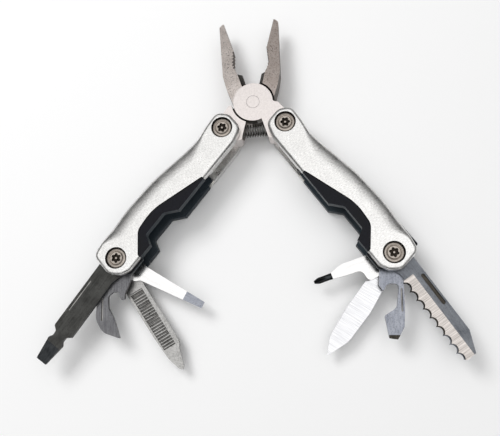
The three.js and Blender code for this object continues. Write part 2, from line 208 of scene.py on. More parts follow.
# %% Solid helpers
def skinned(name, rings, place=Matrix.Identity(4)):
    """A closed body over rings of (x, y, z) points, all rings with the same number of points."""
    work = bmesh.new()
    loops = [[work.verts.new(Vector(point) * mm) for point in ring] for ring in rings]
    for low, high in zip(loops, loops[1:]):
        for i in range(len(low)):
            work.faces.new((low[i - 1], low[i], high[i], high[i - 1]))
    work.faces.new(loops[0])
    work.faces.new(loops[-1])
    bmesh.ops.recalc_face_normals(work, faces=work.faces)
    mesh = bpy.data.meshes.new(name)
    work.to_mesh(mesh)
    work.free()
    piece = bpy.data.objects.new(name, mesh)
    bpy.context.scene.collection.objects.link(piece)
    piece.matrix_world = place
    return piece


def plate(name, outline, low, high, place=Matrix.Identity(4)):
    """A flat plate of that outline between two heights."""
    return skinned(name, [[(x, y, z) for x, y in outline] for z in (low, high)], place)


def settle(piece):
    """Turns the piece's modifiers into plain mesh."""
    bpy.context.view_layer.update()
    shaped = piece.evaluated_get(bpy.context.evaluated_depsgraph_get())
    mesh = bpy.data.meshes.new_from_object(shaped)
    piece.modifiers.clear()
    piece.data = mesh
    return piece


def carve(piece, *others, how="DIFFERENCE"):
    """Cuts the others away from the piece, or joins them on. Cut faces take the cutter's finish."""
    for other in others:
        other.matrix_world = piece.matrix_world
        step = piece.modifiers.new("carve", "BOOLEAN")
        step.operation, step.solver, step.object = how, "EXACT", other
        step.material_mode = "TRANSFER"
    settle(piece)
    for other in others:
        bpy.data.objects.remove(other)
    return piece


def coated(piece, *finishes):
    """Gives a piece its finishes: the first is its faces, a second is for its broken edges."""
    piece.data.materials.clear()
    for finish in finishes:
        piece.data.materials.append(finish)
    return piece


def darken(piece, finish, chosen):
    """Gives the chosen faces of a piece another finish."""
    piece.data.materials.append(finish)
    for face in piece.data.polygons:
        if chosen(face):
            face.material_index = len(piece.data.materials) - 1
    return piece


def break_edges(piece, width, segments=2, edge_slot=-1, sharper_than=35):
    """Rounds every edge that turns more than an angle; the new faces can take another finish."""
    step = piece.modifiers.new("broken edges", "BEVEL")
    step.width, step.segments, step.material = width * mm, segments, edge_slot
    step.limit_method, step.angle_limit = "ANGLE", math.radians(sharper_than)
    return settle(piece)


def smoothed(piece, crease=32):
    """Shades gentle turns smoothly and keeps the others crisp."""
    piece.data.shade_smooth()
    piece.data.set_sharp_from_angle(angle=math.radians(crease))
    weighting = piece.modifiers.new("flat faces stay flat", "WEIGHTED_NORMAL")
    weighting.keep_sharp = True
    return settle(piece)


def mirrored(piece, name, axis, about):
    """A mirror copy of a piece across a plane of its own frame."""
    copy = piece.copy()
    copy.name, copy.data = name, piece.data.copy()
    bpy.context.scene.collection.objects.link(copy)
    flip = Matrix.Translation(axis * 2 * about * mm) @ Matrix.Scale(-1, 4, axis)
    copy.data.transform(flip)
    copy.data.flip_normals()
    return copy


def finished(piece, node, body):
    """The piece takes over from its CAD solid and moves with that body.

    Its mesh is laid down in the frame's own axes; the place of each point on the piece's axes
    is kept as "own_place", so that grain and grinding lines still follow the piece."""
    bpy.context.view_layer.update()
    own_place = piece.data.attributes.new("own_place", "FLOAT_VECTOR", "POINT")
    own_place.data.foreach_set("vector", [c for vertex in piece.data.vertices for c in vertex.co])
    piece.data.transform(piece.matrix_world)
    piece.matrix_world = Matrix.Identity(4)
    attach(piece, body)
    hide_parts(node)
    print(f"{node}: {len(piece.data.polygons)} faces, on {body}")


# %% [markdown]
# ## Mixing finishes
# A finish is a small tree of nodes. The class below adds one node per call, measures patterns in
# millimetres on the piece's own axes, and so keeps each recipe to a few lines. Image textures
# would look as good from one side only; noise wraps every face and has no seams.

# %% Finish helper
def paint(red, green, blue):
    """A colour picked on a 0 to 255 scale, as the shader wants it."""
    return (*[(c / 255) ** 2.2 for c in (red, green, blue)], 1)


class Finish:
    """A finish being mixed: each call adds a node and gives back its result."""

    def __init__(self, name, metallic=1.0):
        self.material = bpy.data.materials.new(name)
        self.material.use_nodes = True
        self.tree = self.material.node_tree
        self.shader = self.tree.nodes["Principled BSDF"]
        self.shader.inputs["Metallic"].default_value = metallic
        self.spot = self.add("Attribute", {"attribute_name": "own_place"}).outputs["Vector"]

    def add(self, kind, settings=(), **sockets):
        node = self.tree.nodes.new("ShaderNode" + kind)
        for key, value in dict(settings).items():
            setattr(node, key, value)
        for key, value in sockets.items():
            self.plug(node.inputs[key.replace("_", " ")], value)
        return node

    def plug(self, socket, value):
        if isinstance(value, bpy.types.NodeSocket):
            self.tree.links.new(value, socket)
        else:
            socket.default_value = value

    def grain(self, x, y, detail=2.0):
        """Noise from 0 to 1 with blotches that many millimetres long in x and y."""
        scale = (1 / (x * mm), 1 / (y * mm), 1 / (max(x, y) * mm))
        placed = self.add("Mapping", Vector=self.spot, Scale=scale)
        noise = self.add("TexNoise", Vector=placed.outputs[0], Scale=1.0, Detail=detail)
        return self.span(noise.outputs[0], 0.3, 0.7, 0, 1)

    def from_axis(self):
        """Millimetres from the piece's own z axis."""
        flat = self.add("VectorMath", {"operation": "MULTIPLY"})
        self.plug(flat.inputs[0], self.spot)
        self.plug(flat.inputs[1], (1 / mm, 1 / mm, 0))
        away = self.add("VectorMath", {"operation": "LENGTH"})
        self.plug(away.inputs[0], flat.outputs[0])
        return away.outputs["Value"]

    def span(self, value, start, end, low, high):
        """The value moved from one range to another, and kept inside it."""
        moved = self.add(
            "MapRange", Value=value, From_Min=start, From_Max=end, To_Min=low, To_Max=high
        )
        return moved.outputs[0]

    def sum(self, kind, first, second):
        step = self.add("Math", {"operation": kind})
        self.plug(step.inputs[0], first)
        self.plug(step.inputs[1], second)
        return step.outputs[0]

    def mix(self, share, first, second):
        """Between two colours."""
        step = self.add("Mix", {"data_type": "RGBA"})
        for socket, value in zip((0, 6, 7), (share, first, second)):
            self.plug(step.inputs[socket], value)
        return step.outputs[2]

    def relief(self, height, microns):
        """Bumps that stand that high."""
        step = self.add("Bump", Height=height, Distance=microns * 0.001 * mm, Strength=1.0)
        return step.outputs["Normal"]

    def pour(self, **sockets):
        """Sets the shader's own sockets and gives back the material."""
        for key, value in sockets.items():
            self.plug(self.shader.inputs[key.replace("_", " ")], value)
        return self.material


# %% [markdown]
# ## Metals
# Every steel here is the same recipe with other amounts: lines left by the last wheel or belt, a
# cloudy tone from handling, fine dark specks in cast or blackened skins, and roughness that
# follows the clouds. `line` is how far a scratch reaches in x and y, so one number pair says
# which way the piece was ground. A scanned metal would give one look and not this whole family.

# %% Metal recipe
def metal(name, light, dark, roughness, line=(0.5, 0.5), lines=0.5, specks=0.0, microns=6, **more):
    finish = Finish(name)
    scratches = finish.grain(*line, detail=3)
    clouds = finish.grain(4, 4)
    pits = finish.grain(0.45, 0.45, detail=1)
    tone = finish.sum(
        "ADD", finish.sum("MULTIPLY", scratches, lines), finish.sum("MULTIPLY", clouds, 1 - lines)
    )
    colour = finish.mix(tone, dark, light)
    speckled = finish.mix(finish.span(pits, 0.62, 0.85, 0, specks), colour, paint(38, 34, 32))
    height = finish.sum("ADD", scratches, finish.sum("MULTIPLY", pits, -specks))
    return finish.pour(
        Base_Color=speckled,
        Roughness=finish.span(clouds, 0, 1, roughness - 0.05, roughness + 0.08),
        Normal=finish.relief(height, microns),
        **more,
    )


# Pale finish for broken edges: partly rubbed wear, partly a painted highlight that draws a thin bright line
# along each edge.
worn_highlight_edge = metal(
    "rubbed_edge_and_highlight", paint(250, 248, 246), paint(190, 188, 186), 0.22, (0.3, 1.5), 0.3, microns=2
)
# Edge finish for dark steel. On the long driver's broken edges it is lighter than the gunmetal faces: partly
# rubbed wear, partly a painted highlight. In the nail nicks of the bottle opener, long driver and can opener
# its darker tones are a painted shade in the groove.
blackened_edge = metal(
    "rubbed_dark_edge_and_painted_light", paint(170, 168, 165), paint(70, 69, 68), 0.3, (0.3, 2), 0.5, microns=3
)
# Dark grey for the walls of counterbores and bores: a painted shade inside the recesses.
shadow_cut = metal("painted_shade_cut_wall", paint(120, 116, 111), paint(66, 63, 60), 0.45, (0.2, 0.2), 0.5, microns=5)
print("edges and cut walls:", worn_highlight_edge.name, blackened_edge.name, shadow_cut.name)

# %% [markdown]
# ## Aluminium
# The scales are bead-blasted, which leaves a fine even grain; their inner walls are only tumbled
# and stay duller. Both come from the same recipe, with a finer line and a deeper relief outside.

# %% Aluminium
blasted = metal(
    "blasted_aluminium", paint(240, 239, 237), paint(196, 195, 193), 0.3, (0.8, 0.35), 0.85, microns=34
)
plain_wall = metal(
    "tumbled_aluminium", paint(216, 214, 209), paint(165, 162, 157), 0.42, (0.8, 3), 0.5, microns=6
)
print("handles:", blasted.name)

# %% [markdown]
# ## Black inserts
# The inserts are moulded in a tough black plastic with a satin skin and a slight blue cast. A
# dielectric needs no metal reflection; two sizes of noise give the skin its orange peel and the
# faint grey of handling.

# %% Black plastic
def moulded(name, deep, worn, roughness, microns):
    finish = Finish(name, metallic=0.0)
    peel = finish.grain(0.35, 0.35)
    handling = finish.grain(3, 8)
    return finish.pour(
        Base_Color=finish.mix(finish.sum("MULTIPLY", handling, peel), deep, worn),
        Roughness=finish.span(handling, 0, 1, roughness - 0.08, roughness + 0.1),
        Normal=finish.relief(peel, microns),
        Specular_IOR_Level=0.16,
    )


satin_black = moulded("satin_black", paint(16, 17, 22), paint(34, 35, 42), 0.42, 9)
# Lighter blue-grey for the inserts' side walls and the faces that look into the channel: a painted reflection
# of the light they catch.
painted_light_mould_wall = moulded("painted_light_mould_wall", paint(44, 52, 58), paint(62, 70, 76), 0.45, 9)
# Pale grey for the broken edges of the black mouldings: a painted highlight that draws thin lines of light.
painted_highlight_rim = moulded("painted_highlight_rim", paint(96, 102, 108), paint(150, 156, 162), 0.35, 4)
print("inserts:", satin_black.name, painted_highlight_rim.name)

# %% [markdown]
# ## Turned screw heads
# A screw head is faced on a lathe, so its fine lines are circles about its axis. The pattern is
# therefore noise over the distance from the axis, which no straight scratch could imitate.

# %% Turned steel
def turned(name, light, dark, roughness):
    finish = Finish(name)
    rings = finish.add("TexNoise", {"noise_dimensions": "1D"}, W=finish.from_axis(), Scale=6.0)
    dirt = finish.grain(0.7, 0.7)
    tone = finish.sum("ADD", finish.sum("MULTIPLY", rings.outputs[0], 0.6), finish.sum("MULTIPLY", dirt, 0.4))
    return finish.pour(
        Base_Color=finish.mix(tone, dark, light),
        Roughness=finish.span(dirt, 0, 1, roughness - 0.07, roughness + 0.1),
        Normal=finish.relief(finish.sum("ADD", rings.outputs[0], finish.sum("MULTIPLY", dirt, 0.4)), 9),
    )


screw_steel = turned("turned_screw", paint(196, 187, 178), paint(104, 97, 90), 0.24)
# Near-black turned steel for the walls of the star recess: a painted shade inside the recess.
painted_shade_recess = turned("painted_shade_recess", paint(70, 64, 58), paint(24, 22, 20), 0.45)
print("screws:", screw_steel.name)

# %% [markdown]
# ## Pliers steel
# The pliers are cast and then only the lapped discs and arms are ground. The ground skin is pale
# and smooth; the jaws keep a grainy grey skin with pits. Both are one casting, so one finish
# changes from one to the other with the distance from the main rivet, which is the piece's
# origin.

# %% Pliers steel
DISC_RADIUS = 7.3


def cast_and_ground(name, tones_as_lit):
    finish = Finish(name)
    place = finish.add("SeparateXYZ", Vector=finish.spot)
    beyond_disc = finish.span(finish.from_axis(), DISC_RADIUS - 0.3, DISC_RADIUS + 0.5, 0, 1)
    up_front = finish.span(place.outputs[1], -1 * mm, 1.5 * mm, 0, 1)
    cast = finish.sum("MULTIPLY", beyond_disc, up_front)
    sand = finish.grain(0.5, 0.5, detail=3)
    clouds = finish.grain(3.5, 3.5)
    pits = finish.grain(0.5, 0.5, detail=3)
    ground_tone = finish.mix(finish.grain(0.5, 0.5), paint(212, 205, 202), paint(226, 219, 216))
    cast_tone = finish.mix(sand, *tones_as_lit)
    cloudy = finish.mix(finish.span(clouds, 0, 1, 0, 0.3), cast_tone, paint(150, 138, 130))
    pitted = finish.mix(finish.span(pits, 0.62, 0.9, 0, 0.85), cloudy, paint(84, 75, 69))
    height = finish.sum("ADD", sand, finish.sum("MULTIPLY", pits, -1.0))
    return finish.pour(
        Base_Color=finish.mix(cast, ground_tone, pitted),
        Roughness=finish.span(cast, 0, 1, 0.36, 0.5),
        Normal=finish.relief(finish.sum("MULTIPLY", height, finish.span(cast, 0, 1, 0.08, 1)), 45),
    )


# Both halves are the same steel: the left half's lighter cast tones are painted light and the right half's
# darker ones painted shade.
lit_left_casting = cast_and_ground("lit_left_casting", (paint(180, 170, 164), paint(246, 238, 233)))
shaded_right_casting = cast_and_ground("shaded_right_casting", (paint(150, 139, 133), paint(214, 203, 197)))
# Dark steel for the walls between the teeth and for the recess that clears the other half's disc, a painted
# shade in those gaps; the wire cutter takes it too.
cutter_steel_painted_shade = metal("cutter_steel_painted_shade", paint(96, 92, 88), paint(48, 45, 43), 0.42, (0.3, 0.3), 0.5, 0.4, 8)
# Dark grey for the side walls of the jaws and discs: a painted shade.
painted_shade_cast_wall = metal("painted_shade_cast_wall", paint(120, 112, 106), paint(66, 60, 56), 0.4, (0.5, 0.5), 0.5, 0.2, 6)
# Spring steel with tones painted dark, a painted shade for the shade between the arms.
painted_shade_spring_wire = metal("painted_shade_spring_wire", paint(170, 168, 165), paint(70, 68, 66), 0.2, (0.4, 0.4), 0.5, 0.2, 2)
print("pliers:", lit_left_casting.name, shaded_right_casting.name, cutter_steel_painted_shade.name)

# %% [markdown]
# ## Where the pieces go
# The frame's joints already say where every pivot is. A handle's own frame has its jaw-end pivot
# at the origin and runs along -Y to the tool-end pivot; a tool's frame starts at the tool-end
# pivot in the same way. The pivots are taken from the joints; only the angle of an arm and how far
# each tool is folded out are written here.

# %% Frames of the pliers, handles and tools
def pivot(joint):
    return Vector(joints[joint]["pos_m"])


def turned_frame(origin, degrees):
    spot = Matrix.Translation((origin.x, origin.y, 0))
    return spot @ Matrix.Rotation(math.radians(degrees), 4, "Z")


def heading(start, end):
    """Degrees from -Y of the way from one point to another."""
    way = end - start
    return math.degrees(math.atan2(way.x, -way.y))


SIDES = {"right": -1, "left": 1}  # the way that "across" points, in a handle's own x
ARM_ANGLE = 32.3  # from the closing line of the pliers to an arm's pivot
tool_end = {"right": pivot("saw_fold"), "left": pivot("long_driver_fold")}
handle_angle = {s: heading(pivot(f"{s}_handle_fold"), tool_end[s]) for s in SIDES}
handle_frame = {s: turned_frame(pivot(f"{s}_handle_fold"), handle_angle[s]) for s in SIDES}
rivet_spot = pivot("jaw_close")
arm_heading = {s: heading(rivet_spot, pivot(f"{s}_handle_fold")) for s in SIDES}
front_frame = turned_frame(rivet_spot, arm_heading["right"] - ARM_ANGLE)
rear_frame = turned_frame(rivet_spot, arm_heading["left"] + ARM_ANGLE)
lean = (arm_heading["right"] + arm_heading["left"]) / 2
print("handles head", {s: round(a, 2) for s, a in handle_angle.items()}, "lean", round(lean, 2))

# %% [markdown]
# ## Pliers halves
# Each half is one casting: a jaw, a half-thick disc that laps over the other half's disc, and an
# arm on the far side. The jaw thins towards its tip, has fine teeth near the tip, coarse teeth in
# the oval behind them, and a wire cutter next to the disc. It could be sculpted, but it was made
# with straight cuts, so here too it is joined and cut from plates.

# %% Pliers sizes
THICKNESS = 16
MID = THICKNESS / 2
HEAD_THICKNESS, TIP_THICKNESS = 7.4, 3.6
HEAD_LOW, HEAD_HIGH = MID - HEAD_THICKNESS / 2, MID + HEAD_THICKNESS / 2
TIP_SHARE = TIP_THICKNESS / HEAD_THICKNESS
LAP_FACE = MID + 0.05
GRIP_X = -0.16  # the grip stays this far off the closing line
DISC_SIDES, DISC_GAP = 96, 0.7
BOSS_R, RIVET_HOLE_R, ARM_HOLE_R = 4.3, 2.42, 2.05
CUTTER_START, CUTTER_END = 8.7, 12.9
POCKET_Y, POCKET_R, POCKET_REACH = -10.8, 3.2, (-1, 2.9)
TAPER_START = 11
JAW_REACH = 34.7
ARM_REACH = 15.4
ARM_PIVOT = ARM_REACH * Vector((math.sin(math.radians(ARM_ANGLE)), -math.cos(math.radians(ARM_ANGLE))))
JAW = [
    (-7.0, 0), (-7.6, 8.4, 4), (-7.3, 13.6, 3), (-2.2, 33.9, 0.9), (-0.8, JAW_REACH, 0.4),
    (GRIP_X, JAW_REACH - 0.1), (GRIP_X, 22.4), (-2.0, 17.2, 3), (-2.2, 14.0, 0.8), (-1.9, 12.9),
    (-1.9, 8.3), (-1.5, 0),
]
ARM = [
    (0.9, 0), (7.0, 0), (7.1, -2.4, 1), (8.7, -3.4, 1.2), (10.8, -8.6, 6), (12.7, -13.0, 3),
    (11.6, -17.0, 3), (7.6, -17.6, 3), (2.6, -15.9, 1.5), (0.95, -14.9, 0.3), (0.9, -7),
]
print("jaw", JAW_REACH, "arm pivot", [round(c, 2) for c in ARM_PIVOT])

# %% [markdown]
# One comb-shaped cutter takes the fine teeth and another the coarse ones, each in a single cut.
# The jaw is thinned afterwards by moving its points towards the lap plane.

# %% Teeth
def comb(path, pitch, depth, clear):
    """A cutter outline whose teeth reach that deep past a path, and whose back stays clear of it."""
    length = sum((b - a).length for a, b in zip(path, path[1:]))
    count = int(length / pitch)
    notches, travelled, goal = [], 0, 0
    for a, b in zip(path, path[1:]):
        step = (b - a).length
        while goal <= 2 * count and travelled + step >= goal * pitch / 2 - 1e-6:
            point = a.lerp(b, (goal * pitch / 2 - travelled) / step)
            notches.append(point + Vector((-depth if goal % 2 else 0.04, 0)))
            goal += 1
        travelled += step
    return notches + [Vector((clear, notches[-1].y)), Vector((clear, notches[0].y))]


def taper(piece):
    """Thins the jaw evenly from where the taper starts to the tip."""
    work = bmesh.new()
    work.from_mesh(piece.data)
    everything = work.verts[:] + work.edges[:] + work.faces[:]
    bmesh.ops.bisect_plane(work, geom=everything, plane_co=(0, TAPER_START * mm, 0), plane_no=(0, 1, 0))
    for vertex in work.verts:
        gone = max(0, vertex.co.y / mm - TAPER_START) / (JAW_REACH - TAPER_START)
        share = 1 - gone * (1 - TIP_SHARE)
        vertex.co.z = MID * mm + (vertex.co.z - MID * mm) * share
    work.to_mesh(piece.data)
    work.free()

# %% [markdown]
# The front half joins arm, boss and wire cutter to the jaw, makes room for the other half's
# disc, joins its own disc, and then loses its two holes and the seat of the spring.

# %% Front half
def casting(name, finish):
    jaw = plate(name, rounded(JAW), HEAD_LOW, HEAD_HIGH, front_frame)
    coated(jaw, finish, painted_shade_cast_wall)
    fine = [Vector((GRIP_X, 34.2)), Vector((GRIP_X, 22.5))]
    coarse = rounded([(GRIP_X, 22.3), (-2.0, 17.2, 3), (-2.2, 14.2)])
    for path, pitch, depth in ((fine, 0.8, 0.3), (coarse, 1.3, 0.65)):
        teeth = plate("teeth", comb(path, pitch, depth, 1.0), HEAD_LOW - 1, HEAD_HIGH + 1)
        faces = len(jaw.data.polygons)
        carve(jaw, coated(teeth, cutter_steel_painted_shade))
        print("teeth cut into", name, ":", len(jaw.data.polygons) - faces, "new faces")
    taper(jaw)
    arm = coated(plate("arm", rounded(ARM), HEAD_LOW, HEAD_HIGH), finish)
    boss = coated(plate("boss", circle(ARM_PIVOT, BOSS_R), HEAD_LOW, HEAD_HIGH), finish)
    wedge_section = [
        (-2.4, HEAD_HIGH - 0.4), (GRIP_X, MID + 0.1), (GRIP_X, MID - 0.1), (-2.4, HEAD_LOW + 0.4)
    ]
    wedge = skinned("wedge", [[(x, y, z) for x, z in wedge_section] for y in (CUTTER_START, CUTTER_END)])
    coated(wedge, cutter_steel_painted_shade)
    carve(jaw, arm, how="UNION")
    carve(jaw, boss, how="UNION")
    carve(jaw, wedge, how="UNION")
    other_disc = circle((0, 0), DISC_RADIUS + DISC_GAP, DISC_SIDES)
    carve(jaw, coated(plate("clearance", other_disc, HEAD_LOW - 1, LAP_FACE), cutter_steel_painted_shade))
    disc = plate("disc", circle((0, 0), DISC_RADIUS, DISC_SIDES), LAP_FACE, HEAD_HIGH)
    carve(jaw, coated(disc, finish), how="UNION")
    rivet_hole = plate("rivet hole", circle((0, 0), RIVET_HOLE_R), HEAD_LOW - 1, HEAD_HIGH + 1)
    pivot_hole = plate("pivot hole", circle(ARM_PIVOT, ARM_HOLE_R), HEAD_LOW - 1, HEAD_HIGH + 1)
    pocket_round = circle((POCKET_Y, MID), POCKET_R)
    pocket = skinned("pocket", [[(x, y, z) for y, z in pocket_round] for x in POCKET_REACH])
    carve(jaw, *[coated(cutter, finish) for cutter in (rivet_hole, pivot_hole, pocket)])
    break_edges(jaw, 0.16, segments=2)
    # The side walls of the jaw and the disc take the painted shade.
    darken(jaw, painted_shade_cast_wall, lambda face: abs(face.normal.z) < 0.3 and face.center.y > -7.2 * mm)
    return smoothed(jaw)


front_half = casting("fine_front_jaw", lit_left_casting)
print("front half:", len(front_half.data.polygons), "faces")

# %% [markdown]
# The rear half is the front one turned over: the mirror image across the closing line and across
# the lap plane. Copying it keeps the two halves a true pair.

# %% Rear half
X, Z = Vector((1, 0, 0)), Vector((0, 0, 1))
across_lap = mirrored(front_half, "lapped copy", Z, MID)
rear_half = mirrored(across_lap, "fine_rear_jaw", X, 0)
bpy.data.objects.remove(across_lap)
# The rear half takes the shaded copy of the casting finish.
for slot_number, material in enumerate(rear_half.data.materials):
    if material == lit_left_casting:
        rear_half.data.materials[slot_number] = shaded_right_casting
rear_half.matrix_world = rear_frame
finished(front_half, "front_jaw", "front_pliers")
finished(rear_half, "rear_jaw", "rear_pliers")

# %% [markdown]
# ## Rivet
# The main rivet is peened flush and then ground with the disc, so only a hair line shows where
# its edge is. A small chamfer at each end is enough to draw that line.

# %% Rivet
RIVET_R, RIVET_CHAMFER, RIVET_SIDES = 2.4, 0.1, 64
RIVET = [  # radius and height
    (RIVET_R - 0.08, HEAD_LOW), (RIVET_R, HEAD_LOW + RIVET_CHAMFER),
    (RIVET_R, HEAD_HIGH - RIVET_CHAMFER), (RIVET_R - 0.08, HEAD_HIGH),
]
rivet_rings = [[(*point, z) for point in circle((0, 0), r, RIVET_SIDES)] for r, z in RIVET]
rivet = smoothed(coated(skinned("fine_rivet", rivet_rings, front_frame), lit_left_casting))
finished(rivet, "rivet", "front_pliers")

# %% [markdown]
# ## Coil spring
# A compression spring pushes the arms apart. A real one is wound from round wire, so the rings
# that are skinned here follow a helix, with the wire's section nearly square to its path.

# %% Coil spring
SPRING_Y, SPRING_R, WIRE_R, SPRING_LENGTH, SPRING_TURNS = -10.0, 2.15, 0.25, 9.6, 9.5
WIRE_SIDES = 12


def coil():
    rings = []
    steps = round(SPRING_TURNS * 32)
    for i in range(steps + 1):
        turn = 2 * math.pi * SPRING_TURNS * i / steps
        outward = Vector((0, math.cos(turn), math.sin(turn)))
        along = (i / steps - 0.5) * (SPRING_LENGTH - 2 * WIRE_R)
        middle = Vector((along, SPRING_Y, MID)) + SPRING_R * outward
        section = [2 * math.pi * k / WIRE_SIDES for k in range(WIRE_SIDES)]
        rings.append([middle + WIRE_R * (math.cos(s) * outward + math.sin(s) * X) for s in section])
    return rings


spring_frame = turned_frame(rivet_spot, lean)
spring = smoothed(coated(skinned("fine_coil_spring", coil(), spring_frame), painted_shade_spring_wire), crease=60)
finished(spring, "coil_spring", "front_pliers")
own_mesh(spring)

# %% [markdown]
# ## Handle scales
# A scale is a die-cast and bead-blasted aluminium cheek. Its front face rolls over in a wide
# curve along the outer side of the handle, so that it sits well in the palm, and has only a
# narrow rounding near the screws and along the inner side. A bevel modifier gives one width all
# round, so the rounding is skinned instead: rings step inwards by a width that changes along the
# outline.

# %% Handle sizes
HANDLE_PITCH = 60
CHANNEL_HIGH = MID + 3.8  # inner face of the front scale
LINER = 1.4
POCKET_ROOF = CHANNEL_HIGH + LINER + 0.1
COUNTERBORE_FLOOR, COUNTERBORE_R, HOLE_R = 14.1, 3.85, 2.05
INSERT_TOP, LINER_START = 15.6, 16
THROUGH = (5, 17)  # heights of a cutter that passes right through a front cheek
NARROW, WIDE = (1.2, 1.2), (5.6, 2.6)  # how far in and how far down the rounding goes
SCALE = [
    (1.5, 6.8, 6), (-4.2, 5.4, 4), (-5.6, -1.2, 4), (-3.2, -5.4, 3.5), (3.0, -5.1, 6),
    (8.5, -4.3, 12), (17.0, -6.0, 40), (31.0, -8.4, 60), (45.0, -9.0, 60), (59.0, -7.9, 20),
    (64.4, -7.0, 3), (66.2, 1.4, 4), (63.6, 5.2, 4), (60.5, 6.8, 3),
]
LINER_OUTLINE = [
    (LINER_START, 6.2), (32.8, 6.2, 1), (37.0, 2.8, 1), (47.3, 2.8, 1), (49.4, 6.2, 0.8),
    (54.0, 6.2, 0.6), (54.8, 7.4, 0.6), (61.2, 7.4, 1.5), (64.0, 3.6, 3), (64.6, -1.0, 3),
    (62.6, -6.0, 2), (45.0, -7.4, 60), (31.0, -7.0, 60), (LINER_START, -4.5),
]
FINGER_NOTCH = [
    (32.4, 8.5), (33.0, 6.7, 1.5), (37.3, 3.0, 1.2), (47.0, 3.0, 1.2), (49.0, 6.5, 0.8), (49.2, 8.5),
]


def insert_outline(gap, inner_edge):
    """The window of a scale, or the panel in it, which is smaller by the gap."""
    return [
        (18.4 + gap, inner_edge, 0.4), (18.7 + gap, 5.8 + gap, 0.6), (39.0, -0.9 + gap, 40),
        (47.6, -0.2 + gap, 5), (54.4 - gap, 5.6 + gap, 0.6), (54.8 - gap, inner_edge, 0.4),
    ]


def drawn(side, corners, steps=6):
    """An outline of (along, across) corners laid out on that side's x and y."""
    return rounded([(SIDES[side] * v, -u, *radius) for u, v, *radius in corners], steps)


print("scale from", HANDLE_PITCH, "mm pitch, inner face at", CHANNEL_HIGH)

# %% [markdown]
# Each ring of the rounding is the outline stepped inwards and down by a quarter turn. The width
# of the step eases in and out along the outline, so the wide part has no visible start.

# %% Ring rounding
def ease(value, start, end):
    """0 before the start, 1 after the end, and a smooth step between."""
    t = min(1, max(0, (value - start) / (end - start)))
    return t * t * (3 - 2 * t)


def palm_share(side, point):
    """How much of the wide rounding a point of the outline has: 0 near the screws, 1 in the palm."""
    along, across = -point.y, SIDES[side] * point.x
    return ease(along, 6, 16) * (1 - ease(along, 52, 60)) if across < -2 else 0


def inward(points):
    """For each point of a closed outline, the direction that leads into it."""
    ways = []
    for before, after in zip(points[-1:] + points[:-1], points[1:] + points[:1]):
        way = (after - before).normalized()
        ways.append(Vector((-way.y, way.x)))
    area = sum(a.cross(b) for a, b in zip(points, points[1:] + points[:1]))
    return ways if area > 0 else [-way for way in ways]


def cheek(name, side, frame):
    """The scale before its window and bores are cut, standing on the channel's face."""
    outline = evened(drawn(side, SCALE, steps=10), 0.9)
    ways = inward(outline)
    shares = [palm_share(side, point) for point in outline]
    rings = [[(*(point + way * 0.25), CHANNEL_HIGH) for point, way in zip(outline, ways)],
             [(*point, CHANNEL_HIGH + 0.25) for point in outline]]
    steps = 9
    for step in range(steps + 1):
        turn = math.pi / 2 * step / steps
        ring = []
        for point, way, share in zip(outline, ways, shares):
            reach, drop = (n + (w - n) * share for n, w in zip(NARROW, WIDE))
            height = THICKNESS - max(drop, 0.3) * (1 - math.sin(turn))
            ring.append((*(point + way * reach * (1 - math.cos(turn))), height))
        rings.append(ring)
    return skinned(name, rings, frame)

# %% [markdown]
# One scale is cut out and mirrored across the middle of the handle for the other face.

# %% Front and rear scales
def scale(side):
    name = f"fine_{side}_front_scale"
    body = coated(cheek(name, side, handle_frame[side]), blasted, worn_highlight_edge)
    pocket_corners = [(LINER_START - 0.2, -12), (70, -12), (70, 12), (LINER_START - 0.2, 12)]
    cutters = [
        plate("liner pocket", drawn(side, pocket_corners), THROUGH[0], POCKET_ROOF),
        plate("window", drawn(side, insert_outline(0, 9), steps=12), *THROUGH),
    ]
    for along in (0, HANDLE_PITCH):
        wide = circle((0, -along), COUNTERBORE_R, 72)
        cutters.append(plate("counterbore", wide, COUNTERBORE_FLOOR, THROUGH[1]))
        cutters.append(plate("bore", circle((0, -along), HOLE_R), *THROUGH))
    # The counterbore and bore walls take the painted shade; the pocket and window walls stay plain aluminium.
    walls = (plain_wall, plain_wall) + (shadow_cut,) * 4
    carve(body, *[coated(cutter, wall) for cutter, wall in zip(cutters, walls)])
    # The broken edges take the pale edge finish: rubbed wear and a painted highlight.
    break_edges(body, 0.22, segments=3, edge_slot=1, sharper_than=50)
    return smoothed(body, crease=40)


for side in SIDES:
    front = scale(side)
    rear = mirrored(front, f"fine_{side}_rear_scale", Z, MID)
    finished(front, f"{side}_front_scale", f"{side}_handle")
    finished(rear, f"{side}_rear_scale", f"{side}_handle")

# %% [markdown]
# ## Inserts
# Each insert is one moulding: a thin liner under the scale and a raised panel that fills the
# scale's window, with a notch where a finger reaches the tools. The mould leaves a small radius
# on its edges, and those carry a painted highlight, a pale grey that draws thin lines of light.
# The side walls, and the faces that look into the channel, are painted a lighter blue-grey, a
# painted reflection of the light that falls on them.

